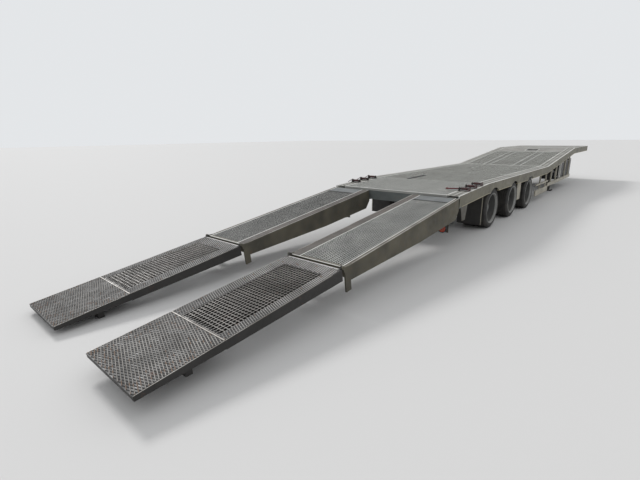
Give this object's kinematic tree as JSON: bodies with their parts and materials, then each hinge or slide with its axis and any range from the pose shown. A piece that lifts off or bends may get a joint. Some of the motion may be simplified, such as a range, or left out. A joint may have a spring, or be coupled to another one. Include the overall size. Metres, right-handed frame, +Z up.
{
  "type": "low loader semi-trailer",
  "caption": "Low loader semi-trailer with a raised neck, twin-tyred axles, grated deck, sloping tail and folding loading ramps on lift cylinders.",
  "frame": {"origin": "on the ground under the middle of the whole length, ramps down", "axes": "+X forward to the kingpin, +Y to the left, +Z up"},
  "size_m": [18.5124, 2.55, 1.302],
  "materials": {
    "frame_paint": "matt dark grey-brown paint, dusty",
    "rail_paint": "grey-brown paint with a lighter lower lip",
    "deck_steel": "worn grey painted steel",
    "galvanised_grating": "galvanised, weathered",
    "bare_steel": "bright greased steel",
    "leg_paint": "black paint",
    "black_paint": "black chassis paint, dusty",
    "bellows_rubber": "matt rubber",
    "box_plastic": "black moulded plastic",
    "tank_paint": "light grey paint",
    "guard_steel": "galvanised steel, beige with dust",
    "flap_rubber": "black rubber sheet, dusty",
    "lamp_red": "red lens",
    "tyre_rubber": "worn rubber, dusty",
    "rim_paint": "mid grey paint",
    "ramp_paint": "olive-brown paint, worn",
    "dark_steel": "dark steel with rust at the edges",
    "bright_rod": "polished"
  },
  "bodies": {
    "chassis": {"frame_beams": "frame_paint", "cross_members": "frame_paint", "side_rails": "rail_paint", "edge_rails": "deck_steel", "rear_beam": "frame_paint", "grating_tail": "galvanised_grating", "grating_main": "galvanised_grating", "grating_neck": "galvanised_grating", "neck_plate": "deck_steel", "coupling_plate": "frame_paint", "kingpin": "bare_steel", "landing_legs": "leg_paint", "axles": "black_paint", "trailing_arms": "black_paint", "suspension_hangers": "black_paint", "air_springs": "bellows_rubber", "storage_boxes": "box_plastic", "air_tanks": "tank_paint", "side_guards": "guard_steel", "guard_boards": "guard_steel", "mud_flaps": "flap_rubber", "rear_lamps": "lamp_red", "lift_barrels": "black_paint", "lift_brackets": "frame_paint"},
    "wheel_1_left": {"tyres_1_left": "tyre_rubber", "rims_1_left": "rim_paint"},
    "wheel_1_right": {"tyres_1_right": "tyre_rubber", "rims_1_right": "rim_paint"},
    "wheel_2_left": {"tyres_2_left": "tyre_rubber", "rims_2_left": "rim_paint"},
    "wheel_2_right": {"tyres_2_right": "tyre_rubber", "rims_2_right": "rim_paint"},
    "wheel_3_left": {"tyres_3_left": "tyre_rubber", "rims_3_left": "rim_paint"},
    "wheel_3_right": {"tyres_3_right": "tyre_rubber", "rims_3_right": "rim_paint"},
    "upper_ramp_left": {"ramp_upper_frame_left": "ramp_paint", "ramp_upper_grating_left": "galvanised_grating"},
    "lower_ramp_left": {"ramp_lower_frame_left": "dark_steel", "ramp_lower_grating_left": "dark_steel", "ramp_toe_left": "dark_steel"},
    "rod_left": {"lift_rod_left": "bright_rod"},
    "upper_ramp_right": {"ramp_upper_frame_right": "ramp_paint", "ramp_upper_grating_right": "galvanised_grating"},
    "lower_ramp_right": {"ramp_lower_frame_right": "dark_steel", "ramp_lower_grating_right": "dark_steel", "ramp_toe_right": "dark_steel"},
    "rod_right": {"lift_rod_right": "bright_rod"}
  },
  "joints": [
    {"name": "roll_1_left", "type": "hinge", "parent": "chassis", "child": "wheel_1_left", "pos_m": [-2.19176, 1.005, 0.395], "axis": [0, 1, 0], "continuous": true},
    {"name": "roll_1_right", "type": "hinge", "parent": "chassis", "child": "wheel_1_right", "pos_m": [-2.19176, -1.005, 0.395], "axis": [0, 1, 0], "continuous": true},
    {"name": "roll_2_left", "type": "hinge", "parent": "chassis", "child": "wheel_2_left", "pos_m": [-0.83176, 1.005, 0.395], "axis": [0, 1, 0], "continuous": true},
    {"name": "roll_2_right", "type": "hinge", "parent": "chassis", "child": "wheel_2_right", "pos_m": [-0.83176, -1.005, 0.395], "axis": [0, 1, 0], "continuous": true},
    {"name": "roll_3_left", "type": "hinge", "parent": "chassis", "child": "wheel_3_left", "pos_m": [0.52824, 1.005, 0.395], "axis": [0, 1, 0], "continuous": true},
    {"name": "roll_3_right", "type": "hinge", "parent": "chassis", "child": "wheel_3_right", "pos_m": [0.52824, -1.005, 0.395], "axis": [0, 1, 0], "continuous": true},
    {"name": "ramp_lift_left", "type": "hinge", "parent": "chassis", "child": "upper_ramp_left", "pos_m": [-3.98876, 0.864, 0.79], "axis": [0, 1, 0], "range_deg": [0, 96]},
    {"name": "ramp_fold_left", "type": "hinge", "parent": "upper_ramp_left", "child": "lower_ramp_left", "pos_m": [-7.01361, 0.864, 0.41054], "axis": [0, 1, 0], "range_deg": [0, 178]},
    {"name": "rod_slide_left", "type": "slide", "parent": "chassis", "child": "rod_left", "axis": [-1, 0, 0], "range_m": [0, 0.49058]},
    {"name": "ramp_lift_right", "type": "hinge", "parent": "chassis", "child": "upper_ramp_right", "pos_m": [-3.98876, -0.864, 0.79], "axis": [0, 1, 0], "range_deg": [-0.95, 95.05]},
    {"name": "ramp_fold_right", "type": "hinge", "parent": "upper_ramp_right", "child": "lower_ramp_right", "pos_m": [-7.01948, -0.864, 0.46075], "axis": [0, 1, 0], "range_deg": [0, 178]},
    {"name": "rod_slide_right", "type": "slide", "parent": "chassis", "child": "rod_right", "axis": [-1, 0, 0], "range_m": [-0.00495, 0.48572]}
  ],
  "couplings": [
    {"joint": "rod_slide_left", "follows": "ramp_lift_left", "m_per_rad": 0.29273},
    {"joint": "rod_slide_right", "follows": "ramp_lift_right", "m_per_rad": 0.29273}
  ]
}
